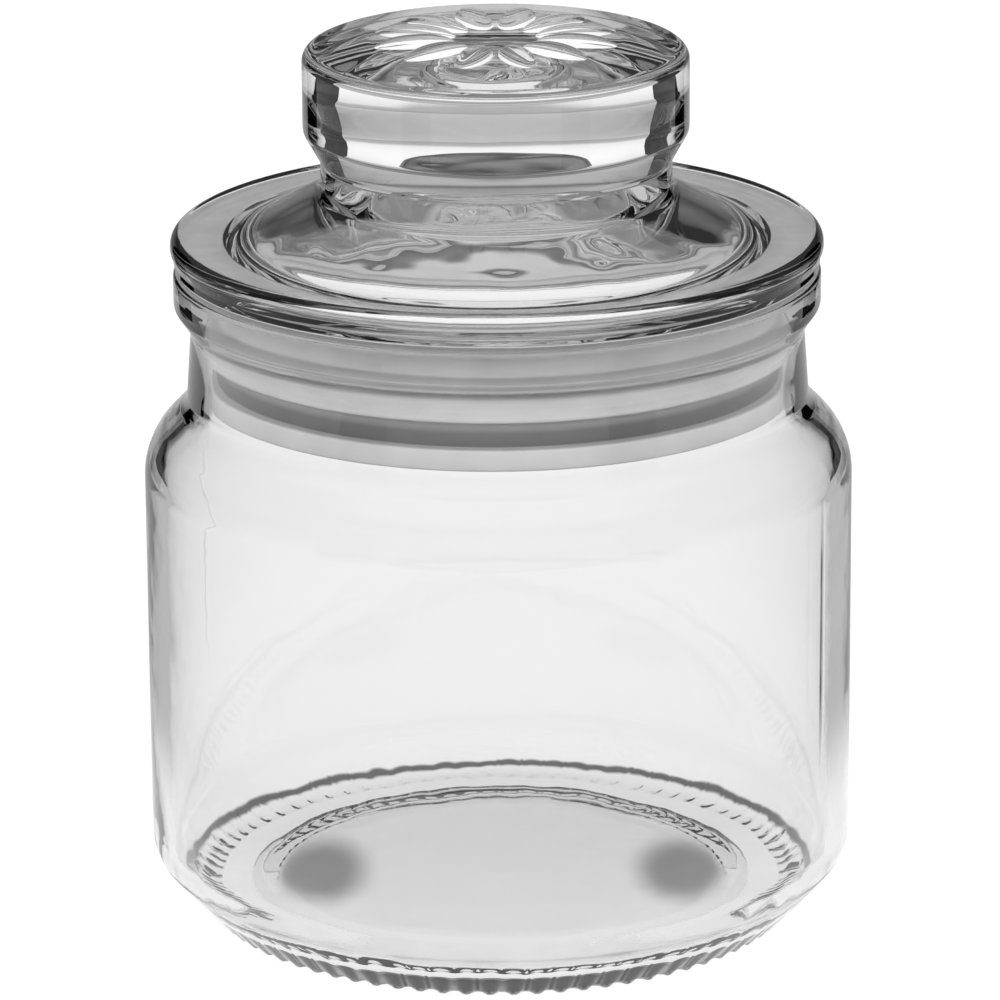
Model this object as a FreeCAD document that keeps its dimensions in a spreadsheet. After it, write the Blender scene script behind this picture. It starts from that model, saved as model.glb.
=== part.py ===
import FreeCAD, Part
import math
import os
import re

import Sketcher

# Apothecary jar with a stopper lid: a pressed glass jar, a hollow glass stopper with a
# round knob, and the soft plastic seal that is snapped round the stopper's plug.
# Millimetres, +Z up, origin on the axis at the plane that the jar stands on.

SIZES = [
    # jar
    ("body_radius", 50.0, "outside of the straight wall"),
    ("wall", 2.8, "glass of the straight wall"),
    ("foot_radius", 42.0, "outer edge of the ring that the jar stands on"),
    ("heel_height", 8.9, "where the slope of the heel meets the wall"),
    ("heel_round", 4.5, "outside, between heel and wall"),
    ("floor_height", 3.9, "inside of the floor at its edge"),
    ("floor_crown", 4.5, "inside of the floor at its centre"),
    ("floor_round", 8.0, "inside, between floor and wall"),
    ("punt_ledge", 2.0, "ledge between the bars and the hollow under the floor"),
    ("punt_height", 1.9, "roof of the hollow at its edge"),
    ("punt_crown", 2.3, "roof of the hollow at its centre"),
    ("punt_slope", 1.4, "how far its side leans out"),
    ("knurl_count", 80, "bars round the standing ring"),
    ("knurl_length", 6.0, "bar, from its inner end to the edge of the foot"),
    ("knurl_depth", 0.85, "height of a gap between two bars"),
    ("ring_recess", 1.05, "height of the ledge between bars and hollow"),
    ("knurl_gap", 2.0, "width between two bars at their feet"),
    ("knurl_gap_roof", 0.9, "width between two bars at the top"),
    ("shoulder_height", 67.8, "where the wall meets the sloping shoulder"),
    ("shoulder_rise", 6.1, "from there up to the neck"),
    ("shoulder_round", 9.0, "outside, between wall and shoulder"),
    ("neck_base_radius", 43.9, "outside of the neck at its foot"),
    ("neck_round", 4.0, "outside, between shoulder and neck"),
    ("neck_taper", 0.8, "how much slimmer the neck is under the lip"),
    ("neck_length", 11.4, "from the shoulder to the underside of the lip"),
    ("lip_foot_round", 3.0, "outside, between neck and lip"),
    ("lip_flare", 3.4, "height of the lip's sloping underside"),
    ("lip_band", 4.6, "height of the lip's straight band"),
    ("lip_reach", 2.35, "how far the lip stands out from there"),
    ("lip_round", 0.7, "edges of the lip"),
    ("neck_wall", 2.6, "glass of the neck at its foot, outside its straight bore"),
    ("mouth_round", 0.6, "inner edge of the lip"),
    # seal
    ("seal_flange", 1.0, "plastic between lid and lip"),
    ("seal_flange_inset", 0.25, "how far that flange stays inside the lip"),
    ("seal_wall", 1.6, "sleeve round the plug"),
    ("seal_clearance", 0.3, "between the fins and the bore of the neck"),
    ("fin_reach", 1.1, "how far a fin stands out from the sleeve"),
    ("seal_lip_height", 3.1, "band at the foot of the seal"),
    ("seal_lip_round", 0.4, "edges of that band"),
    ("seal_length", 17.7, "reach of the seal below the lip"),
    ("fin_height", 1.2, "root of a fin"),
    ("fin_tip", 0.5, "edge of a fin"),
    ("lower_fin", 10.2, "depth of the lower fin below the lip"),
    ("upper_fin", 5.0, "depth of the upper fin below the lip"),
    ("snap_depth", 0.6, "bead inside the seal that holds it on the plug"),
    ("snap_width", 1.4, "height of the bead at its foot"),
    ("snap_drop", 14.1, "middle of the bead below the rim of the stopper"),
    ("plug_fit", 0.05, "running clearance between plug and seal"),
    ("snap_slack", 0.15, "play of the bead up and down in its groove"),
    # stopper
    ("plug_wall", 2.65, "glass of the plug"),
    ("plug_length", 17.3, "plug below the underside of the rim"),
    ("plug_round", 1.0, "edges at the foot of the plug"),
    ("rim_overhang", 0.35, "how far the rim stands out over the lip"),
    ("rim_foot_inset", 0.5, "how much slimmer the rim is where it meets the seal"),
    ("rim_foot_height", 0.9, "straight foot of the rim"),
    ("rim_lean_height", 2.2, "where the rim reaches its full width"),
    ("rim_thickness", 4.3, "from the seal to the flat top of the rim"),
    ("rim_round", 1.6, "upper edge of the rim"),
    ("rim_flat", 10.3, "from the edge to where the top turns up towards the knob"),
    ("cone_round", 10.0, "hollow curve there"),
    ("knob_neck_radius", 24.6, "narrow part under the knob"),
    ("knob_neck_height", 10.3, "foot of the narrow part above the seal"),
    ("knob_neck_round", 2.5, "hollow curve there"),
    ("knob_neck_length", 4.4, "from there to where the knob flares"),
    ("knob_under_round", 2.0, "hollow curve there"),
    ("knob_flare", 4.2, "height of the flare"),
    ("knob_edge_round", 2.0, "lower edge of the knob"),
    ("knob_overhang", 2.4, "how far the knob stands out over the narrow part"),
    ("knob_side", 11.5, "height of the knob's side"),
    ("knob_round", 1.9, "upper edge of the knob"),
    ("knob_top_radius", 17.5, "flat middle of the top"),
    ("knob_crown", 1.05, "rise from the side to the flat middle"),
    ("cavity_rim_height", 0.5, "where the plug's bore meets its ceiling, above the seal"),
    ("cavity_rim_round", 4.0, "hollow curve there"),
    ("cavity_wall", 4.1, "glass between the narrow part and the hollow"),
    ("cavity_ceiling_rise", 5.8, "height of the sloping ceiling"),
    ("cavity_neck_round", 2.5, "edge there"),
    ("cavity_top_radius", 10.0, "roof of the hollow"),
    ("cavity_rise", 7.9, "from there to the roof of the hollow"),
    ("cavity_top_round", 3.5, "curve at the roof"),
    ("petal_count", 12, "bosses in the ring on the knob"),
    ("petal_angle", 15.0, "turn of the first boss from the X axis, in degrees"),
    ("petal_orbit", 13.3, "distance of the bosses from the axis"),
    ("petal_length", 8.6, "boss, outwards"),
    ("petal_width", 5.2, "boss, sideways"),
    ("petal_height", 1.45, "crest above the flat middle"),
    ("petal_sink", 0.25, "centre of a boss below the flat middle"),
]

# Radii that follow from the ones outside or inside them.
KNURL = "(foot_radius - knurl_length)"
PUNT_FOOT = "(foot_radius - knurl_length - punt_ledge)"
NECK = "(neck_base_radius - neck_taper)"
LIP = "(neck_base_radius - neck_taper + lip_reach)"
BORE = "(neck_base_radius - neck_wall)"
SEAL_REACH = "(" + BORE + " - seal_clearance)"
SEAL_SLEEVE = "(" + SEAL_REACH + " - fin_reach)"
SEAL_BORE = "(" + SEAL_SLEEVE + " - seal_wall)"
PLUG = "(" + SEAL_BORE + " - plug_fit)"
RIM = "(" + LIP + " + rim_overhang)"
KNOB = "(knob_neck_radius + knob_overhang)"
# Half the turn from wall to shoulder: a wall of even thickness moves its inner corners
# down the wall by the thickness times this tangent.
SHOULDER_TURN = "tan(atan((body_radius - neck_base_radius) / shoulder_rise) / 2)"
# Heights that follow from the ones below them.
NECK_BASE = "(shoulder_height + shoulder_rise)"
LIP_FOOT = "(shoulder_height + shoulder_rise + neck_length)"
LIP_EDGE = "(shoulder_height + shoulder_rise + neck_length + lip_flare)"
MOUTH = "(shoulder_height + shoulder_rise + neck_length + lip_flare + lip_band)"
SEAL_FOOT = "(" + MOUTH + " - seal_length)"
SEAL_TOP = "(" + MOUTH + " + seal_flange)"
SNAP = "(" + SEAL_TOP + " - snap_drop)"
KNOB_NECK = "(" + SEAL_TOP + " + knob_neck_height)"
KNOB_UNDER = "(" + KNOB_NECK + " + knob_neck_length)"
KNOB_EDGE = "(" + KNOB_UNDER + " + knob_flare)"
KNOB_SHOULDER = "(" + KNOB_EDGE + " + knob_side)"
KNOB_TOP = "(" + KNOB_SHOULDER + " + knob_crown)"
CAVITY_RIM = "(" + SEAL_TOP + " + cavity_rim_height)"
CAVITY_NECK = "(" + CAVITY_RIM + " + cavity_ceiling_rise)"
CAVITY_TOP = "(" + CAVITY_NECK + " + cavity_rise)"

doc = FreeCAD.newDocument("apothecary_jar")


def make_sheet():
    sheet = doc.addObject("Spreadsheet::Sheet", "Sizes")
    for row, (alias, number, note) in enumerate(SIZES, start=1):
        sheet.set("A%d" % row, alias)
        sheet.set("B%d" % row, str(number))
        sheet.set("C%d" % row, note)
        sheet.setAlias("B%d" % row, alias)
    doc.recompute()
    return sheet


sheet = make_sheet()
ALIASES = re.compile(r"\b(%s)\b" % "|".join(alias for alias, _, _ in SIZES))


def bound(text):
    """The expression for a size written with the sheet's aliases."""
    return ALIASES.sub(r"Sizes.\1", text)


def number(text):
    """What that expression comes to now."""
    found = sheet.evalExpression(bound(text))
    return float(getattr(found, "Value", found))


def make_body(label):
    body = doc.addObject("PartDesign::Body", label)
    body.Label = label
    return body


def plane(body, role):
    return next(f for f in body.Origin.OriginFeatures if f.Role == role)


def new_sketch(body, name, role):
    sketch = body.newObject("Sketcher::SketchObject", name)
    sketch.AttachmentSupport = [(plane(body, role), "")]
    sketch.MapMode = "FlatFace"
    return sketch


def bind(sketch, kind, place, name, text):
    """Hold a length of the sketch to an expression, or to the axis where it is zero."""
    size = number(text)
    if kind != "Radius" and abs(size) < 1e-9:
        axis = -2 if kind == "DistanceX" else -1
        sketch.addConstraint(Sketcher.Constraint("PointOnObject", *place, axis))
        return
    index = sketch.addConstraint(Sketcher.Constraint(kind, *place, size))
    sketch.renameConstraint(index, name)
    sketch.setExpression("Constraints." + name, bound(text))


def turned(vector, length):
    return FreeCAD.Vector(vector).normalize().multiply(length)


def corner_arc(before, here, after, radius):
    """Start, end and centre of the arc that rounds the corner at here."""
    back = turned(before - here, 1)
    ahead = turned(after - here, 1)
    half = back.getAngle(ahead) / 2
    reach = radius / math.tan(half)
    centre = here + turned(back + ahead, radius / math.sin(half))
    return here + turned(back, reach), here + turned(ahead, reach), centre


def add_arc(sketch, start, end, centre, radius):
    """Add the short arc. Returns its number and which of its ends come first and last."""
    angles = [math.atan2(p.y - centre.y, p.x - centre.x) for p in (start, end)]
    forward = (start - centre).cross(end - centre).z > 0
    if not forward:
        angles.reverse()
    circle = Part.Circle(centre, FreeCAD.Vector(0, 0, 1), radius)
    arc = sketch.addGeometry(Part.ArcOfCircle(circle, *angles))
    return (arc, 1, 2) if forward else (arc, 2, 1)


def draw_outline(sketch, corners):
    """Draw a closed outline: straight runs from corner to corner, rounded where a corner
    names a radius. A corner is (name, distance from the axis, height, radius or None)."""
    count = len(corners)
    points = [FreeCAD.Vector(number(c[1]), number(c[2]), 0) for c in corners]
    starts, ends, arcs = [], [], []
    for i, corner in enumerate(corners):
        here = points[i]
        if corner[3] is None:
            starts.append(here)
            ends.append(here)
            arcs.append(None)
            continue
        radius = number(corner[3])
        start, end, centre = corner_arc(points[i - 1], here, points[(i + 1) % count], radius)
        starts.append(start)
        ends.append(end)
        arcs.append(add_arc(sketch, start, end, centre, radius))
    lines = [
        sketch.addGeometry(Part.LineSegment(ends[i], starts[(i + 1) % count]))
        for i in range(count)
    ]
    for i, (name, across, up, rounding) in enumerate(corners):
        incoming, outgoing = lines[i - 1], lines[i]
        if arcs[i] is None:
            join = Sketcher.Constraint("Coincident", incoming, 2, outgoing, 1)
            sketch.addConstraint(join)
            place = (outgoing, 1)
        else:
            arc, first, last = arcs[i]
            spot = sketch.addGeometry(Part.Point(points[i]), True)
            sketch.addConstraint([
                Sketcher.Constraint("Tangent", incoming, 2, arc, first),
                Sketcher.Constraint("Tangent", arc, last, outgoing, 1),
                Sketcher.Constraint("PointOnObject", spot, 1, incoming),
                Sketcher.Constraint("PointOnObject", spot, 1, outgoing),
            ])
            bind(sketch, "Radius", (arc,), name + "_round", rounding)
            place = (spot, 1)
        bind(sketch, "DistanceX", place, name + "_across", across)
        bind(sketch, "DistanceY", place, name + "_up", up)


def turn_outline(body, name, corners):
    """Turn an outline once round the Z axis."""
    sketch = new_sketch(body, name + "_outline", "XZ_Plane")
    draw_outline(sketch, corners)
    solid = body.newObject("PartDesign::Revolution", name)
    solid.Profile = sketch
    solid.ReferenceAxis = (sketch, ["V_Axis"])
    solid.Angle = 360
    doc.recompute()
    return solid


def repeat_round(body, feature, name, count):
    """Copy a feature round the Z axis."""
    pattern = body.newObject("PartDesign::PolarPattern", name)
    pattern.Originals = [feature]
    pattern.Axis = (plane(body, "Z_Axis"), [""])
    pattern.Angle = 360
    pattern.setExpression("Occurrences", bound(count))
    body.Tip = pattern
    doc.recompute()
    return pattern


def make_jar():
    body = make_body("jar_body")
    inner_lower = "shoulder_height - wall * " + SHOULDER_TURN
    inner_upper = NECK_BASE + " - neck_wall * " + SHOULDER_TURN
    blank = turn_outline(body, "jar_blank", [
        ("punt_centre", "0", "punt_crown", None),
        ("punt_edge", PUNT_FOOT + " - punt_slope", "punt_height", "punt_slope"),
        ("punt_foot", PUNT_FOOT, "ring_recess", None),
        ("ring_inside", KNURL, "ring_recess", None),
        ("bar_end", KNURL, "0", None),
        ("foot", "foot_radius", "0", None),
        ("heel", "body_radius", "heel_height", "heel_round"),
        ("shoulder", "body_radius", "shoulder_height", "shoulder_round"),
        ("neck_base", "neck_base_radius", NECK_BASE, "neck_round"),
        ("lip_foot", NECK, LIP_FOOT, "lip_foot_round"),
        ("lip_lower", LIP, LIP_EDGE, "lip_round"),
        ("lip_upper", LIP, MOUTH, "lip_round"),
        ("mouth", BORE, MOUTH, "mouth_round"),
        ("bore_foot", BORE, inner_upper, "neck_round + neck_wall"),
        ("inner_shoulder", "body_radius - wall", inner_lower, "shoulder_round - wall"),
        ("inner_heel", "body_radius - wall", "floor_height", "floor_round"),
        ("floor_centre", "0", "floor_crown", None),
    ])
    gap = new_sketch(body, "knurl_gap_outline", "YZ_Plane")
    gap_start = KNURL + " - knurl_depth"
    gap.setExpression("AttachmentOffset.Base.z", bound(gap_start))
    foot_half = "knurl_gap - knurl_gap_roof / 2"
    draw_outline(gap, [
        ("left_foot", "-(" + foot_half + ")", "-knurl_depth", None),
        ("right_foot", foot_half, "-knurl_depth", None),
        ("right_roof", "knurl_gap_roof / 2", "knurl_depth", None),
        ("left_roof", "-knurl_gap_roof / 2", "knurl_depth", None),
    ])
    cut = body.newObject("PartDesign::Pocket", "knurl_gap_cut")
    cut.Profile = gap
    cut.Type = "Length"
    cut.setExpression("Length", bound("body_radius - (" + gap_start + ")"))
    cut.Reversed = True
    doc.recompute()
    require_change(blank, cut, -1)
    pattern = repeat_round(body, cut, "knurl_gaps", "knurl_count")
    require_change(cut, pattern, -1)
    return body


def fin(name, depth):
    """Corners of one fin round the seal, from its root below to its root above."""
    middle = MOUTH + " - " + depth
    return [
        (name + "_root_below", SEAL_SLEEVE, middle + " - fin_height / 2", None),
        (name + "_tip_below", SEAL_REACH, middle + " - fin_height / 2", None),
        (name + "_tip_above", SEAL_REACH, middle + " - fin_height / 2 + fin_tip", None),
        (name + "_root_above", SEAL_SLEEVE, middle + " + fin_height / 2", None),
    ]


def make_seal():
    body = make_body("seal_ring")
    bead_radius = SEAL_BORE + " - snap_depth"
    corners = [
        ("foot_inside", SEAL_BORE, SEAL_FOOT, None),
        ("foot_outside", SEAL_REACH, SEAL_FOOT, "seal_lip_round"),
        ("band_top", SEAL_REACH, SEAL_FOOT + " + seal_lip_height", "seal_lip_round"),
        ("sleeve_foot", SEAL_SLEEVE, SEAL_FOOT + " + seal_lip_height", None),
    ]
    corners += fin("lower_fin", "lower_fin")
    corners += fin("upper_fin", "upper_fin")
    corners += [
        ("sleeve_top", SEAL_SLEEVE, MOUTH, None),
        ("flange_below", LIP + " - seal_flange_inset", MOUTH, None),
        ("flange_above", LIP + " - seal_flange_inset", SEAL_TOP, None),
        ("flange_inside", SEAL_BORE, SEAL_TOP, None),
        ("bead_above", SEAL_BORE, SNAP + " + snap_width / 2", None),
        ("bead", bead_radius, SNAP, "snap_depth / 2"),
        ("bead_below", SEAL_BORE, SNAP + " - snap_width / 2", None),
    ]
    turn_outline(body, "seal_blank", corners)
    return body


def make_lid():
    body = make_body("glass_lid")
    bore = PLUG + " - plug_wall"
    groove_half = "(snap_width / 2 + snap_slack)"
    plug_foot = SEAL_TOP + " - plug_length"
    rim_top = SEAL_TOP + " + rim_thickness"
    rim_foot = RIM + " - rim_foot_inset"
    blank = turn_outline(body, "lid_blank", [
        ("top_centre", "0", KNOB_TOP, None),
        ("cavity_centre", "0", CAVITY_TOP, None),
        ("cavity_top", "cavity_top_radius", CAVITY_TOP, "cavity_top_round"),
        ("cavity_neck", "knob_neck_radius - cavity_wall", CAVITY_NECK, "cavity_neck_round"),
        ("cavity_rim", bore, CAVITY_RIM, "cavity_rim_round"),
        ("plug_inside", bore, plug_foot, "plug_round"),
        ("plug_outside", PLUG, plug_foot, "plug_round"),
        ("groove_below", PLUG, SNAP + " - " + groove_half, None),
        ("groove", PLUG + " - snap_depth", SNAP, "snap_depth / 2"),
        ("groove_above", PLUG, SNAP + " + " + groove_half, None),
        ("plug_top", PLUG, SEAL_TOP, None),
        ("rim_foot", rim_foot, SEAL_TOP, None),
        ("rim_lean", rim_foot, SEAL_TOP + " + rim_foot_height", None),
        ("rim_side", RIM, SEAL_TOP + " + rim_lean_height", None),
        ("rim_edge", RIM, rim_top, "rim_round"),
        ("cone_foot", RIM + " - rim_flat", rim_top, "cone_round"),
        ("knob_neck", "knob_neck_radius", KNOB_NECK, "knob_neck_round"),
        ("knob_under", "knob_neck_radius", KNOB_UNDER, "knob_under_round"),
        ("knob_lower", KNOB, KNOB_EDGE, "knob_edge_round"),
        ("knob_upper", KNOB, KNOB_SHOULDER, "knob_round"),
        ("top_edge", "knob_top_radius", KNOB_TOP, None),
    ])
    petal = body.newObject("PartDesign::AdditiveEllipsoid", "petal")
    petal.AttachmentSupport = [(plane(body, "XY_Plane"), "")]
    petal.MapMode = "FlatFace"
    petal.AttachmentOffset = FreeCAD.Placement(
        FreeCAD.Vector(),
        FreeCAD.Rotation(FreeCAD.Vector(0, 0, 1), number("petal_angle")),
    )
    across = "petal_orbit * %s(petal_angle * 1 deg)"
    petal.setExpression("AttachmentOffset.Base.x", bound(across % "cos"))
    petal.setExpression("AttachmentOffset.Base.y", bound(across % "sin"))
    petal.setExpression("AttachmentOffset.Base.z", bound(KNOB_TOP + " - petal_sink"))
    petal.setExpression("AttachmentOffset.Rotation.Angle", bound("petal_angle * 1 deg"))
    petal.setExpression("Radius1", bound("petal_height + petal_sink"))
    petal.setExpression("Radius2", bound("petal_length / 2"))
    petal.setExpression("Radius3", bound("petal_width / 2"))
    doc.recompute()
    require_change(blank, petal, 1)
    pattern = repeat_round(body, petal, "petals", "petal_count")
    require_change(petal, pattern, 1)
    return body


def require_change(before, after, sign):
    """Stop if a feature did not add (1) or take away (-1) material."""
    change = after.Shape.Volume - before.Shape.Volume
    if change * sign <= 0:
        raise ValueError("%s changed the volume by %.3f" % (after.Name, change))


def write_parts(bodies):
    doc.recompute()
    for thing in doc.Objects:
        if "Invalid" in thing.State or "Error" in thing.State:
            raise ValueError("%s failed: %s" % (thing.Name, thing.State))
    os.makedirs("parts", exist_ok=True)
    for body in bodies:
        shape = body.Shape
        if shape.isNull() or not shape.isValid() or len(shape.Solids) != 1:
            raise ValueError("%s is not one sound solid" % body.Label)
        shape.exportStep("parts/%s.step" % body.Label)
        box = shape.BoundBox
        print("%s: %.1f x %.1f mm, %.1f to %.1f high, %.0f mm3" % (
            body.Label, box.XLength, box.YLength, box.ZMin, box.ZMax, shape.Volume,
        ))


write_parts([make_jar(), make_seal(), make_lid()])
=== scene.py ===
# Apothecary jar with a stopper lid, in clear pressed glass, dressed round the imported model
import math

import bmesh
import bpy
from mathutils import Matrix, Vector


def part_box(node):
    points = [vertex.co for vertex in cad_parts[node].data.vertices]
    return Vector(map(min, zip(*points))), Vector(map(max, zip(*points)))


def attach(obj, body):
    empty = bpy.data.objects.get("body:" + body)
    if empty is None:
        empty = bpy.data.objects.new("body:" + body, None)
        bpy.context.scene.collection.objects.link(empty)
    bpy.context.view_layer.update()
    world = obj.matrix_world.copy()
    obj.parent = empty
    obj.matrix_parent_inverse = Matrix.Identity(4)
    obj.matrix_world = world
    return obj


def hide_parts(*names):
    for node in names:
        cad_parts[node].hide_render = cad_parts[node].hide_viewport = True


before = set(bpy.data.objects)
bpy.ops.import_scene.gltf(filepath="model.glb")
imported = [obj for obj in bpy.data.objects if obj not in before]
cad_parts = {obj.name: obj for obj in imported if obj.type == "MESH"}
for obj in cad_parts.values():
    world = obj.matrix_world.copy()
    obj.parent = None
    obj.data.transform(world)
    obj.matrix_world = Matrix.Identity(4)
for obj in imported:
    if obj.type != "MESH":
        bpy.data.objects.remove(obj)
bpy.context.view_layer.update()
mm = 0.001
print("frame loaded:", ", ".join(sorted(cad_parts)))

jarLow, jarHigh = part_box("jar_body")
lidLow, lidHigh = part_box("glass_lid")
sealLow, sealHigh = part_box("seal_ring")
bodyRadius = jarHigh.x / mm
mouth = jarHigh.z / mm  # top of the jar's lip
seat = sealHigh.z / mm  # underside of the stopper's rim
sealFoot = sealLow.z / mm
plugFoot = lidLow.z / mm


def selectVertices(wanted):
    mesh = bmesh.from_edit_mesh(bpy.context.object.data)
    for vertex in mesh.verts:
        vertex.select = bool(wanted(vertex.co))
    mesh.select_flush_mode()
    bmesh.update_edit_mesh(bpy.context.object.data)


def drawOutline(name, corners, closed=False, arcStep=9):
    # half a cross-section: corners are (radius, height, rounding) in mm
    bpy.ops.object.select_all(action="DESELECT")
    bpy.ops.mesh.primitive_plane_add(size=mm, location=(0, 0, 0))
    piece = bpy.context.object
    piece.name = name
    piece.data.name = name
    bpy.ops.object.mode_set(mode="EDIT")
    bpy.context.tool_settings.mesh_select_mode = (True, False, False)
    bpy.ops.mesh.select_all(action="SELECT")
    bpy.ops.mesh.merge(type="CENTER")
    points = [Vector((radius * mm, 0, height * mm)) for radius, height, rounding in corners]
    bpy.ops.transform.translate(value=points[0])
    for before, after in zip(points, points[1:]):
        bpy.ops.mesh.extrude_region_move(TRANSFORM_OT_translate={"value": after - before})
    if closed:
        ends = (points[0], points[-1])
        selectVertices(lambda place: min((place - end).length for end in ends) < 1e-7)
        bpy.ops.mesh.edge_face_add()
    for i, (radius, height, rounding) in enumerate(corners):
        if not rounding:
            continue
        here = points[i]
        back = (points[i - 1] - here).normalized()
        ahead = (points[(i + 1) % len(points)] - here).normalized()
        turn = math.pi - back.angle(ahead)
        selectVertices(lambda place: (place - here).length < 1e-7)
        bpy.ops.mesh.bevel(
            offset=rounding * mm * math.tan(turn / 2),
            segments=max(2, round(math.degrees(turn) / arcStep)),
            affect="VERTICES",
            profile=0.5,
        )
    return piece


def cutLongEdges(longest):
    # divide each run of the outline into steps no longer than this, in mm
    mesh = bmesh.from_edit_mesh(bpy.context.object.data)
    for edge in list(mesh.edges):
        cuts = math.ceil(edge.calc_length() / mm / longest) - 1
        if cuts > 0:
            bmesh.ops.subdivide_edges(mesh, edges=[edge], cuts=cuts)
    bmesh.update_edit_mesh(bpy.context.object.data)


def spinOutline(steps):
    # once round the Z axis, with the seam and the poles closed
    bpy.ops.mesh.select_all(action="SELECT")
    bpy.ops.mesh.spin(steps=steps, angle=2 * math.pi, center=(0, 0, 0), axis=(0, 0, 1))
    bpy.ops.mesh.select_all(action="SELECT")
    bpy.ops.mesh.remove_doubles(threshold=1e-6)
    bpy.ops.mesh.normals_make_consistent(inside=False)


def finishPiece(piece, node, body, material, smoothAngle=35):
    # shade the piece, give it its finish and let it stand for its CAD node
    bpy.ops.object.mode_set(mode="OBJECT")
    bpy.ops.object.select_all(action="DESELECT")
    piece.select_set(True)
    bpy.context.view_layer.objects.active = piece
    bpy.ops.object.shade_smooth_by_angle(angle=math.radians(smoothAngle))
    piece.data.materials.clear()
    piece.data.materials.append(material)
    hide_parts(node)
    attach(piece, body)
    print("made", piece.name, "with", len(piece.data.polygons), "faces")


def waviness(piece, name, depth, scale, group=""):
    # the uneven surface of pressed glass: depth and scale in mm
    texture = bpy.data.textures.new(name, "CLOUDS")
    texture.noise_scale = scale * mm
    texture.noise_depth = 1
    modifier = piece.modifiers.new(name, "DISPLACE")
    modifier.texture = texture
    modifier.texture_coords = "LOCAL"
    modifier.strength = depth * mm
    modifier.mid_level = 0.5
    if group:
        modifier.vertex_group = group
    bpy.context.view_layer.objects.active = piece
    bpy.ops.object.modifier_apply(modifier=name)


def markGroup(piece, name, share):
    group = piece.vertex_groups.new(name=name)
    for vertex in piece.data.vertices:
        weight = share(vertex.co)
        if weight > 0:
            group.add([vertex.index], min(weight, 1), "REPLACE")


def glassMaterial(name, look):
    # clear soda glass with the faint ripple of a pressed surface
    material = bpy.data.materials.new(name)
    material.use_nodes = True
    nodes = material.node_tree.nodes
    links = material.node_tree.links
    glass = nodes["Principled BSDF"]
    glass.inputs["Base Color"].default_value = (*look["tint"], 1)
    glass.inputs["Transmission Weight"].default_value = 1
    glass.inputs["Roughness"].default_value = look["roughness"]
    glass.inputs["IOR"].default_value = look["ior"]
    place = nodes.new("ShaderNodeTexCoord")
    ripple = nodes.new("ShaderNodeTexNoise")
    ripple.inputs["Scale"].default_value = look["rippleScale"]
    ripple.inputs["Detail"].default_value = 2
    bump = nodes.new("ShaderNodeBump")
    bump.inputs["Strength"].default_value = look["rippleStrength"]
    bump.inputs["Distance"].default_value = look["rippleDepth"] * mm
    links.new(place.outputs["Object"], ripple.inputs["Vector"])
    links.new(ripple.outputs["Fac"], bump.inputs["Height"])
    links.new(bump.outputs["Normal"], glass.inputs["Normal"])
    path = nodes.new("ShaderNodeLightPath")  # the lamps shine through, as they do through real glass
    clear = nodes.new("ShaderNodeBsdfTransparent")
    clear.inputs["Color"].default_value = (*look["shade"], 1)
    mix = nodes.new("ShaderNodeMixShader")
    links.new(path.outputs["Is Shadow Ray"], mix.inputs["Fac"])
    links.new(glass.outputs["BSDF"], mix.inputs[1])
    links.new(clear.outputs["BSDF"], mix.inputs[2])
    links.new(mix.outputs["Shader"], nodes["Material Output"].inputs["Surface"])
    if look["absorption"]:
        body = nodes.new("ShaderNodeVolumeAbsorption")  # long ways through the wall look darker
        body.inputs["Color"].default_value = (0, 0, 0, 1)
        body.inputs["Density"].default_value = look["absorption"]
        links.new(body.outputs["Volume"], nodes["Material Output"].inputs["Volume"])
    return material


glassLook = {
    "tint": (0.985, 0.985, 0.985),
    "shade": (0.93, 0.93, 0.93),
    "roughness": 0.0,
    "ior": 1.5,
    "rippleScale": 90,
    "rippleStrength": 0.35,
    "rippleDepth": 0.15,
    "absorption": 0,  # per metre
}
jarGlass = glassMaterial("jarGlass", dict(glassLook, absorption=22))
lidGlass = glassMaterial("lidGlass", glassLook)


sealLook = {
    "roughness": 0.5,
    "clear": 0.08,
    "glow": 0.4,
    "depth": 1.5,
    "paintedShades": [  # height below the flange's top in mm, shade: painted shade, darker where the recess above the foot, the grooves and the flange's edge lie in shade
        (18.8, 0.86), (15.8, 0.86), (15.4, 0.17), (13.6, 0.22), (12.5, 0.5), (11.4, 0.82), (8.0, 0.82),
        (7.3, 0.6), (6.3, 0.7), (5.6, 0.62), (5.2, 0.93), (1.8, 0.9), (1.0, 0.25), (0.4, 0.15),
        (0.14, 0.15), (0.08, 0.42),
    ],
}


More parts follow.
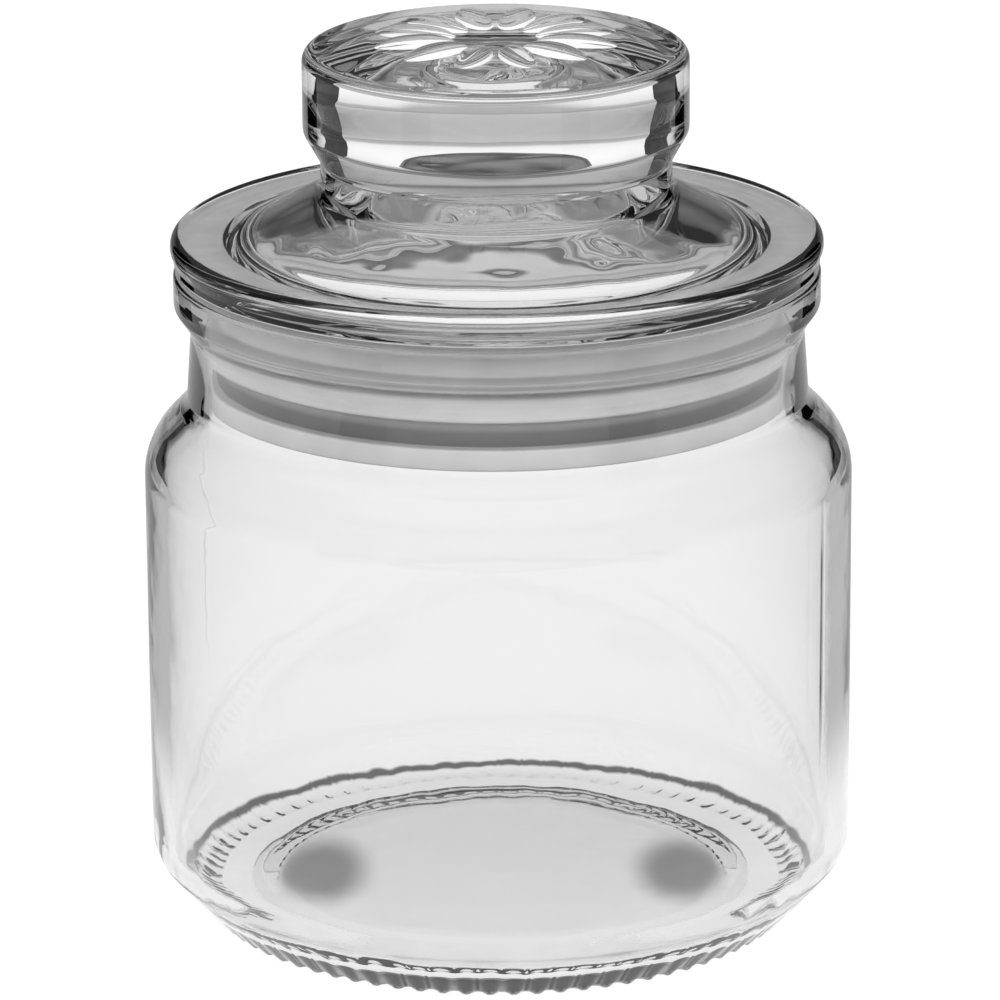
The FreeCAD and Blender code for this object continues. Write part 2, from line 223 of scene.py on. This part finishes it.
def sealMaterial():
    # frosted, slightly translucent soft plastic, its base colour carrying painted shade by height
    material = bpy.data.materials.new("sealPlasticPaintedShade")
    material.use_nodes = True
    nodes = material.node_tree.nodes
    links = material.node_tree.links
    plastic = nodes["Principled BSDF"]
    plastic.inputs["Roughness"].default_value = sealLook["roughness"]
    plastic.inputs["Transmission Weight"].default_value = sealLook["clear"]
    plastic.inputs["Subsurface Weight"].default_value = sealLook["glow"]
    plastic.inputs["Subsurface Radius"].default_value = (1, 1, 1)
    plastic.inputs["Subsurface Scale"].default_value = sealLook["depth"] * mm
    plastic.inputs["IOR"].default_value = 1.45
    place = nodes.new("ShaderNodeTexCoord")
    split = nodes.new("ShaderNodeSeparateXYZ")
    height = nodes.new("ShaderNodeMapRange")
    deepest = sealLook["paintedShades"][0][0]
    height.inputs["From Min"].default_value = (seat - deepest) * mm
    height.inputs["From Max"].default_value = seat * mm
    # painted shade: this ramp darkens and lightens the seal's colour by height, standing in for shade in
    # the recesses and under the lid's rim
    shade = nodes.new("ShaderNodeValToRGB")
    marks = shade.color_ramp.elements
    for i, (depth, light) in enumerate(sealLook["paintedShades"]):
        position = 1 - depth / deepest
        mark = marks[0] if i == 0 else marks.new(position)
        mark.position = position
        mark.color = (light, light, light, 1)
    marks.remove(marks[-1])
    cloud = nodes.new("ShaderNodeTexNoise")
    cloud.inputs["Scale"].default_value = 160
    cloud.inputs["Detail"].default_value = 4
    mottle = nodes.new("ShaderNodeMapRange")
    mottle.inputs["To Min"].default_value = 0.88
    mottle.inputs["To Max"].default_value = 1.12
    mix = nodes.new("ShaderNodeVectorMath")
    mix.operation = "MULTIPLY"
    links.new(place.outputs["Object"], split.inputs[0])
    links.new(split.outputs["Z"], height.inputs["Value"])
    links.new(height.outputs[0], shade.inputs["Fac"])
    links.new(place.outputs["Object"], cloud.inputs["Vector"])
    links.new(cloud.outputs["Fac"], mottle.inputs["Value"])
    links.new(shade.outputs["Color"], mix.inputs[0])
    links.new(mottle.outputs[0], mix.inputs[1])
    links.new(mix.outputs[0], plastic.inputs["Base Color"])
    return material


sealPlasticPaintedShade = sealMaterial()

jar = {
    "steps": 640,
    "wall": 2.8,
    "footRadius": 42.0,
    "barInner": 36.0,
    "barHeight": 0.85,
    "bars": 80,
    "floor": 3.9,
    "cornerRounding": 8.0,  # where the floor turns up into the thick heel
    "neckBore": 41.3,
    "lipRadius": 45.45,
    "longestEdge": 4.6,
    "seam": {"turns": (-26, 154), "low": 30, "high": 64, "lift": 0.12},  # degrees, heights and rise in mm
}


def makeJar():
    inner = bodyRadius - jar["wall"]
    lipRadius = jar["lipRadius"]
    piece = drawOutline("jarBody", [
        (0, 2.3, 0),
        (31.5, 2.0, 4.5),
        (34.4, 1.05, 3.5),
        (jar["barInner"] - 0.25, 1.05, 0),
        (jar["barInner"], 0, 0),
        (jar["footRadius"] - 2.4, 0, 0),
        (jar["footRadius"] - 1.4, 0, 0),
        (jar["footRadius"] - 0.7, 0, 0),
        (jar["footRadius"], 0, 0),
        (jar["footRadius"] + 0.9, 1.0, 0),
        (bodyRadius, 8.9, 4.5),
        (bodyRadius, 67.8, 9),
        (43.9, 73.9, 4),
        (43.1, 85.3, 3),
        (lipRadius, 88.7, 0.7),
        (lipRadius, mouth, 0.7),
        (jar["neckBore"], mouth, 0.6),
        (jar["neckBore"], 72.82, 6.6),
        (inner, 66.64, 6.2),
        (inner, jar["floor"], jar["cornerRounding"]),
        (0, jar["floor"] + 0.6, 0),
    ])
    cutLongEdges(jar["longestEdge"])
    spinOutline(jar["steps"])
    cutBars()
    raiseSeams(jar["seam"], jar["steps"], bodyRadius - 1)
    bpy.ops.object.mode_set(mode="OBJECT")
    markGroup(piece, "wall", lambda place: wallShare(place, inner))
    markGroup(piece, "corner", lambda place: cornerShare(place, inner))
    waviness(piece, "wallWaves", 0.2, 22, "wall")
    waviness(piece, "cornerWaves", 0.7, 6, "corner")
    finishPiece(piece, "jar_body", "jar", jarGlass)
    return piece


def wallShare(place, inner):
    # 1 on the inner wall and floor, fading out towards the mouth
    radius = math.hypot(place.x, place.y) / mm
    height = place.z / mm
    onInside = height > jar["floor"] - 0.3 and radius < inner + 0.3
    return onInside * max(0, min(1, (72 - height) / 10))


def cornerShare(place, inner):
    # 1 in the hollow curve between floor and wall, fading out both ways
    radius = math.hypot(place.x, place.y) / mm
    height = place.z / mm
    if radius > inner + 0.3 or not jar["floor"] - 0.3 < height < 16 or radius < 30:
        return 0
    fromCorner = math.hypot(radius - (inner - 4), height - (jar["floor"] + 2))
    return max(0, 1 - fromCorner / 8)


def cutBars():
    # lift the foot between the bars, soft at the flanks and running out inwards
    turn = 2 * math.pi / jar["bars"]
    lifts = {0: 1.0, 1: 0.86, 2: 0.34, 3: 0.06}  # steps from a gap's middle
    rings = [(41, 0), (41.6, 0.25), (99, 1.0)]  # radius, share of the height
    for step, share in lifts.items():
        ringStart = 20
        for ringEnd, depth in rings:
            def wanted(place):
                radius = math.hypot(place.x, place.y) / mm
                if place.z > 1e-6 or not ringStart < radius <= ringEnd:
                    return False
                phase = (math.atan2(place.y, place.x) / turn) % 1
                away = round(min(phase, 1 - phase) * jar["steps"] / jar["bars"])
                return away == step
            selectVertices(wanted)
            bpy.ops.transform.translate(value=(0, 0, share * depth * jar["barHeight"] * mm))
            ringStart = ringEnd


def raiseSeams(seam, steps, outside):
    # the fine ridges where the halves of the mould met, one column of vertices wide
    for degrees in seam["turns"]:
        turn = round(degrees * steps / 360) * 2 * math.pi / steps
        ahead = Vector((math.cos(turn), math.sin(turn), 0))

        def wanted(place):
            flat = Vector((place.x, place.y, 0))
            if flat.length < outside * mm or not seam["low"] < place.z / mm < seam["high"]:
                return False
            return flat.angle(ahead) < math.pi / steps
        selectVertices(wanted)
        bpy.ops.transform.translate(value=ahead * seam["lift"] * mm)


def makeSeal():
    bore, sleeve, reach = 38.3, 39.9, 41.0
    air = 0.04  # between the glass and the plastic pressed on it
    piece = drawOutline("sealRing", [
        (bore, sealFoot, 0.2),
        (reach, sealFoot, 0.4),
        (reach, sealFoot + 3.1, 0.4),
        (sleeve, sealFoot + 3.1, 0.15),
        (sleeve, mouth - 10.8, 0.3),
        (reach, mouth - 10.8, 0.15),
        (reach, mouth - 10.3, 0.15),
        (sleeve, mouth - 9.6, 0.3),
        (sleeve, mouth - 5.6, 0.3),
        (reach, mouth - 5.6, 0.15),
        (reach, mouth - 5.1, 0.15),
        (sleeve, mouth - 4.4, 0.3),
        (sleeve, mouth + air, 0.3),
        (45.2, mouth + air, 0.25),
        (45.2, seat - air, 0.25),
        (bore, seat - air, 0.2),
        (bore, seat - 13.4, 0.2),
        (bore - 0.6, seat - 14.1, 0.25),
        (bore, seat - 14.8, 0.2),
    ], closed=True, arcStep=20)
    spinOutline(256)
    finishPiece(piece, "seal_ring", "seal", sealPlasticPaintedShade)
    return piece


lid = {
    "steps": 300,
    "plugRadius": 38.25,
    "plugBore": 35.6,
    "rimRadius": 45.8,
    "knobRadius": 27.0,
    "petals": 12,
    "petalOrbit": 11.6,
    "petalSize": (11.8, 4.8, 1.7),
    "ledge": 12.4,  # heights of the hollow's step and roof above the seat
    "roof": 16.3,
    "seam": {"turns": (-98, 82), "low": 96, "high": 98.5, "lift": 0.1},
    "topHeight": 31.45,
}


def makeLid():
    plug, bore = lid["plugRadius"], lid["plugBore"]
    top = seat + lid["topHeight"]
    piece = drawOutline("glassLid", [
        (0, top, 0),
        (17.5, top, 6),
        (lid["knobRadius"], seat + 30.4, 1.9),
        (lid["knobRadius"], seat + 18.9, 2.0),
        (24.6, seat + 14.7, 2.0),
        (24.6, seat + 10.3, 2.5),
        (35.5, seat + 4.3, 10),
        (lid["rimRadius"], seat + 4.3, 1.6),
        (lid["rimRadius"], seat + 2.2, 0.6),
        (45.3, seat + 0.9, 0.3),
        (45.3, seat, 0.2),
        (plug, seat, 0),
        (plug, seat - 13.25, 0.2),
        (plug - 0.6, seat - 14.1, 0.3),
        (plug, seat - 14.95, 0.2),
        (plug, plugFoot, 1.0),
        (bore, plugFoot, 1.0),
        (bore, seat + 0.5, 4),
        (20.5, seat + 6.3, 2.5),
        (13.2, seat + lid["ledge"], 0.8),
        (9.6, seat + lid["ledge"] + 0.2, 0.8),
        (9.0, seat + lid["roof"], 2.2),
        (0, seat + lid["roof"], 0),
    ])
    cutLongEdges(1.1)
    spinOutline(lid["steps"])
    raiseSeams(lid["seam"], lid["steps"], lid["rimRadius"] - 1)
    bpy.ops.object.mode_set(mode="OBJECT")
    markGroup(piece, "hollow", hollowShare)
    waviness(piece, "hollowWaves", 0.9, 9, "hollow")
    addPetals(piece, top)
    finishPiece(piece, "glass_lid", "lid", lidGlass)
    return piece


def hollowShare(place):
    # 1 in the top of the hollow, weaker under the cone, fading out down the plug
    radius = math.hypot(place.x, place.y) / mm
    height = place.z / mm - seat
    if radius > lid["plugBore"] + 0.3 or height > lid["roof"] + 0.8:
        return 0
    if radius > 22 and height > 6.5:
        return 0
    return 0.15 * max(0, min(1, (height + 4) / 6)) + 0.85 * max(0, min(1, (height - 8) / 3))


def addPetals(piece, top):
    # a ring of oval bosses, modelled once, copied round and joined to the knob
    long, wide, tall = lid["petalSize"]
    bpy.ops.object.select_all(action="DESELECT")
    bpy.ops.mesh.primitive_uv_sphere_add(segments=40, ring_count=24, radius=1, location=(0, 0, 0))
    petals = bpy.context.object
    petals.name = "petals"
    bpy.ops.object.mode_set(mode="EDIT")
    bpy.ops.mesh.select_all(action="SELECT")
    bpy.ops.transform.resize(value=(long / 2 * mm, wide / 2 * mm, tall * mm))
    bpy.ops.transform.translate(value=(lid["petalOrbit"] * mm, 0, (top - 0.25) * mm))
    turn = 2 * math.pi / lid["petals"]
    bpy.ops.transform.rotate(value=-turn / 2, orient_axis="Z", center_override=(0, 0, 0))
    for i in range(lid["petals"] - 1):
        bpy.ops.mesh.duplicate()
        bpy.ops.transform.rotate(value=-turn, orient_axis="Z", center_override=(0, 0, 0))
    bpy.ops.object.mode_set(mode="OBJECT")
    union = piece.modifiers.new("petals", "BOOLEAN")
    union.operation = "UNION"
    union.solver = "EXACT"
    union.object = petals
    bpy.ops.object.select_all(action="DESELECT")
    bpy.context.view_layer.objects.active = piece
    bpy.ops.object.modifier_apply(modifier="petals")
    bpy.data.objects.remove(petals)


makeJar()
makeSeal()
makeLid()

studio = {
    "floorRadius": 2.0,
    "paper": 0.9,  # how white the floor paints
    "plainLight": 0.2,  # what the surroundings give to matt surfaces
    "floorNear": 0.35,  # metres: the lit sheet under the jar ends softly between these
    "floorFar": 0.8,
    "floorLit": 1.0,
    "floorDim": 0.35,
    "mirrored": 0.48,  # brightness left after each mirroring in the glass
    "dimmedFrom": (0.07, 0.12),  # metres from the jar between which that sets in on the floor
    "glow": 0.92,  # share of the floor that glows: the rest is painted, and shows the shadow
    "shadeRing": (48.7, 2.7, 0.02),  # radius and half width in mm, light: the dark line under the heel
    "ringEnds": (-26, 4),  # mm in depth between which that line fades in
    "shadePatch": (26.5, 4, 9.5, 19, 0.25),  # place and half sizes in mm, light: two soft shades below
    "sky": [  # elevation in degrees, brightness seen in the glass
        (-90, 0.5), (0, 0.55), (6, 0.42), (12, 0.13), (20, 0.3), (28, 0.5), (50, 0.5), (60, 0.9),
        (72, 0.9), (80, 0.5), (90, 0.5),
    ],
}


def seenThroughGlass(nodes, links):
    # 1 for what glass mirrors or lets through, and how bright it is: mirrored light is dimmer
    path = nodes.new("ShaderNodeLightPath")
    seen = nodes.new("ShaderNodeMath")
    seen.operation = "MAXIMUM"
    links.new(path.outputs["Is Glossy Ray"], seen.inputs[0])
    links.new(path.outputs["Is Transmission Ray"], seen.inputs[1])
    dimming = nodes.new("ShaderNodeMapRange")
    dimming.inputs["To Min"].default_value = 1
    dimming.inputs["To Max"].default_value = studio["mirrored"]
    links.new(path.outputs["Glossy Depth"], dimming.inputs["Value"])
    return path, seen, dimming


def smoothRange(nodes, links, value, start, end, low, high):
    step = nodes.new("ShaderNodeMapRange")
    step.interpolation_type = "SMOOTHSTEP"
    step.inputs["From Min"].default_value = start
    step.inputs["From Max"].default_value = end
    step.inputs["To Min"].default_value = low
    step.inputs["To Max"].default_value = high
    links.new(value, step.inputs["Value"])
    return step.outputs[0]


def times(nodes, links, first, second):
    product = nodes.new("ShaderNodeMath")
    product.operation = "MULTIPLY"
    links.new(first, product.inputs[0])
    links.new(second, product.inputs[1])
    return product.outputs[0]


def negative(nodes, links, value):
    # 1 less the value
    rest = nodes.new("ShaderNodeMath")
    rest.operation = "SUBTRACT"
    rest.inputs[0].default_value = 1
    links.new(value, rest.inputs[1])
    return rest.outputs[0]


def underShade(nodes, links, place, reach):
    # the jar's own shade on the sheet: half a ring under the heel and two patches under the floor
    radius, half, ringLight = studio["shadeRing"]
    core = half * 0.3  # the middle of the line is fully dark
    inside = smoothRange(
        nodes, links, reach, (radius - half) * mm, (radius - core) * mm, 0, 1 - ringLight
    )
    outside = smoothRange(nodes, links, reach, (radius + core) * mm, (radius + half) * mm, 1, 0)
    split = nodes.new("ShaderNodeSeparateXYZ")
    links.new(place.outputs["Object"], split.inputs[0])
    start, end = studio["ringEnds"]
    behind = smoothRange(nodes, links, split.outputs["Y"], start * mm, end * mm, 0, 1)
    line = times(nodes, links, times(nodes, links, inside, outside), behind)
    ring = negative(nodes, links, line)
    across, back, halfWidth, halfLength, patchLight = studio["shadePatch"]
    for side in (-1, 1):
        oval = nodes.new("ShaderNodeVectorMath")
        oval.operation = "MULTIPLY_ADD"
        oval.inputs[1].default_value = (1 / halfWidth / mm, 1 / halfLength / mm, 0)
        oval.inputs[2].default_value = (-side * across / halfWidth, -back / halfLength, 0)
        apart = nodes.new("ShaderNodeVectorMath")
        apart.operation = "LENGTH"
        links.new(place.outputs["Object"], oval.inputs[0])
        links.new(oval.outputs[0], apart.inputs[0])
        patch = smoothRange(nodes, links, apart.outputs["Value"], 0.35, 1, patchLight, 1)
        ring = times(nodes, links, ring, patch)
    return ring


def makeWorld():
    world = bpy.data.worlds.new("studio")
    bpy.context.scene.world = world
    world.use_nodes = True
    nodes = world.node_tree.nodes
    links = world.node_tree.links
    path, seen, dimming = seenThroughGlass(nodes, links)
    place = nodes.new("ShaderNodeTexCoord")
    split = nodes.new("ShaderNodeSeparateXYZ")
    height = nodes.new("ShaderNodeMath")  # sine of the elevation, from 0 at the nadir to 1 overhead
    height.operation = "MULTIPLY_ADD"
    height.inputs[1].default_value = 0.5
    height.inputs[2].default_value = 0.5
    sky = nodes.new("ShaderNodeValToRGB")
    marks = sky.color_ramp.elements
    for i, (elevation, light) in enumerate(studio["sky"]):
        position = (math.sin(math.radians(elevation)) + 1) / 2
        mark = marks[0] if i == 0 else marks.new(position)
        mark.position = position
        mark.color = (light, light, light, 1)
    marks.remove(marks[-1])
    links.new(place.outputs["Generated"], split.inputs[0])
    links.new(split.outputs["Z"], height.inputs[0])
    links.new(height.outputs[0], sky.inputs["Fac"])
    plain = nodes.new("ShaderNodeMapRange")  # white to the camera, plain to matt surfaces
    plain.inputs["To Min"].default_value = studio["plainLight"]
    links.new(path.outputs["Is Camera Ray"], plain.inputs["Value"])
    mix = nodes.new("ShaderNodeMix")
    mix.data_type = "RGBA"
    links.new(seen.outputs[0], mix.inputs["Factor"])
    links.new(plain.outputs[0], mix.inputs[6])
    links.new(sky.outputs["Color"], mix.inputs[7])
    links.new(mix.outputs[2], nodes["Background"].inputs["Color"])
    links.new(dimming.outputs[0], nodes["Background"].inputs["Strength"])


def makeFloor():
    bpy.ops.object.select_all(action="DESELECT")
    bpy.ops.mesh.primitive_circle_add(vertices=96, radius=studio["floorRadius"], fill_type="NGON")
    floor = bpy.context.object
    floor.name = "floor"
    material = bpy.data.materials.new("paleFloor")
    material.use_nodes = True
    nodes = material.node_tree.nodes
    links = material.node_tree.links
    nodes.clear()
    out = nodes.new("ShaderNodeOutputMaterial")
    paint = nodes.new("ShaderNodeBsdfDiffuse")
    paint.inputs["Color"].default_value = (studio["paper"], studio["paper"], studio["paper"], 1)
    path, seen, dimming = seenThroughGlass(nodes, links)
    place = nodes.new("ShaderNodeTexCoord")
    away = nodes.new("ShaderNodeVectorMath")
    away.operation = "LENGTH"
    links.new(place.outputs["Object"], away.inputs[0])
    reach = away.outputs["Value"]
    fade = smoothRange(
        nodes, links, reach,
        studio["floorNear"], studio["floorFar"], studio["floorLit"], studio["floorDim"],
    )
    distant = smoothRange(nodes, links, reach, *studio["dimmedFrom"], 0, 1)
    mirrored = times(nodes, links, distant, negative(nodes, links, dimming.outputs[0]))
    level = times(nodes, links, fade, negative(nodes, links, mirrored))
    level = times(nodes, links, level, underShade(nodes, links, place, reach))
    light = nodes.new("ShaderNodeMix")  # all white to the camera, shaded in the glass
    light.data_type = "FLOAT"
    light.inputs[2].default_value = 1
    links.new(seen.outputs[0], light.inputs["Factor"])
    links.new(level, light.inputs[3])
    glow = nodes.new("ShaderNodeEmission")
    links.new(light.outputs[0], glow.inputs["Strength"])
    share = nodes.new("ShaderNodeMath")
    share.operation = "MAXIMUM"
    links.new(path.outputs["Is Camera Ray"], share.inputs[0])
    links.new(seen.outputs[0], share.inputs[1])
    keep = nodes.new("ShaderNodeMath")
    keep.operation = "MULTIPLY"
    keep.inputs[1].default_value = studio["glow"]
    links.new(share.outputs[0], keep.inputs[0])
    mix = nodes.new("ShaderNodeMixShader")
    links.new(keep.outputs[0], mix.inputs["Fac"])
    links.new(paint.outputs[0], mix.inputs[1])
    links.new(glow.outputs[0], mix.inputs[2])
    links.new(mix.outputs[0], out.inputs["Surface"])
    floor.data.materials.append(material)


flag = {"away": 0.2, "width": 0.06, "low": 0.035, "high": 0.17, "quarters": 4}


def makeFlags():
    # dark flags give the thick knob its dark edges; only the glass sees them
    black = bpy.data.materials.new("flagBlack")
    black.use_nodes = True
    paint = black.node_tree.nodes["Principled BSDF"]
    paint.inputs["Base Color"].default_value = (0.005, 0.005, 0.005, 1)
    paint.inputs["Roughness"].default_value = 1
    paint.inputs["Specular IOR Level"].default_value = 0
    for quarter in range(flag["quarters"]):
        turn = math.radians(360 / flag["quarters"] * (quarter + 0.5))
        bpy.ops.object.select_all(action="DESELECT")
        bpy.ops.mesh.primitive_plane_add(
            size=1,
            location=(
                flag["away"] * math.cos(turn),
                flag["away"] * math.sin(turn),
                (flag["low"] + flag["high"]) / 2,
            ),
            rotation=(math.pi / 2, 0, turn + math.pi / 2),
        )
        board = bpy.context.object
        board.scale = (flag["width"], flag["high"] - flag["low"], 1)
        board.name = "flag"
        board.data.materials.append(black)
        board.visible_camera = False
        board.visible_diffuse = False
        board.visible_shadow = False


def makeLamp(name, place, aim, size, power):
    bpy.ops.object.light_add(type="AREA", location=place)
    lamp = bpy.context.object
    lamp.name = name
    lamp.data.shape = "RECTANGLE"
    lamp.data.size, lamp.data.size_y = size
    lamp.data.energy = power
    lamp.visible_glossy = False
    lamp.visible_transmission = False
    lamp.rotation_euler = (Vector(aim) - Vector(place)).to_track_quat("-Z", "Y").to_euler()


view = {"lens": 243.6, "below": 17.418, "roll": -0.38, "place": (0.0002, -0.91585, 0.34603)}


def makeCamera():
    camera = bpy.data.objects.new("camera", bpy.data.cameras.new("camera"))
    bpy.context.scene.collection.objects.link(camera)
    camera.data.sensor_width = 36
    camera.data.lens = view["lens"]
    tilt = Matrix.Rotation(math.radians(90 - view["below"]), 3, "X")
    roll = Matrix.Rotation(math.radians(view["roll"]), 3, "Z")
    camera.rotation_euler = (tilt @ roll).to_euler()
    camera.location = view["place"]
    camera.data.clip_start = 0.01
    bpy.context.scene.camera = camera


makeWorld()
makeFloor()
makeFlags()
lamps = {
    "softbox": {"place": (0, 0.2, 1.4), "aim": (0, 0, 0.05), "size": (1.2, 0.9), "power": 18},
    "side": {"away": 1.1, "height": 0.7, "aim": (0, 0, 0.08), "size": (0.8, 0.8), "power": 11},
}
softbox = lamps["softbox"]
makeLamp("softbox", softbox["place"], softbox["aim"], softbox["size"], softbox["power"])
side = lamps["side"]
for quarter in range(4):
    turn = math.radians(45 + 90 * quarter)
    place = (side["away"] * math.cos(turn), side["away"] * math.sin(turn), side["height"])
    makeLamp("sideLight", place, side["aim"], side["size"], side["power"])
makeCamera()
bpy.context.scene.view_settings.view_transform = "Standard"
print("studio ready")
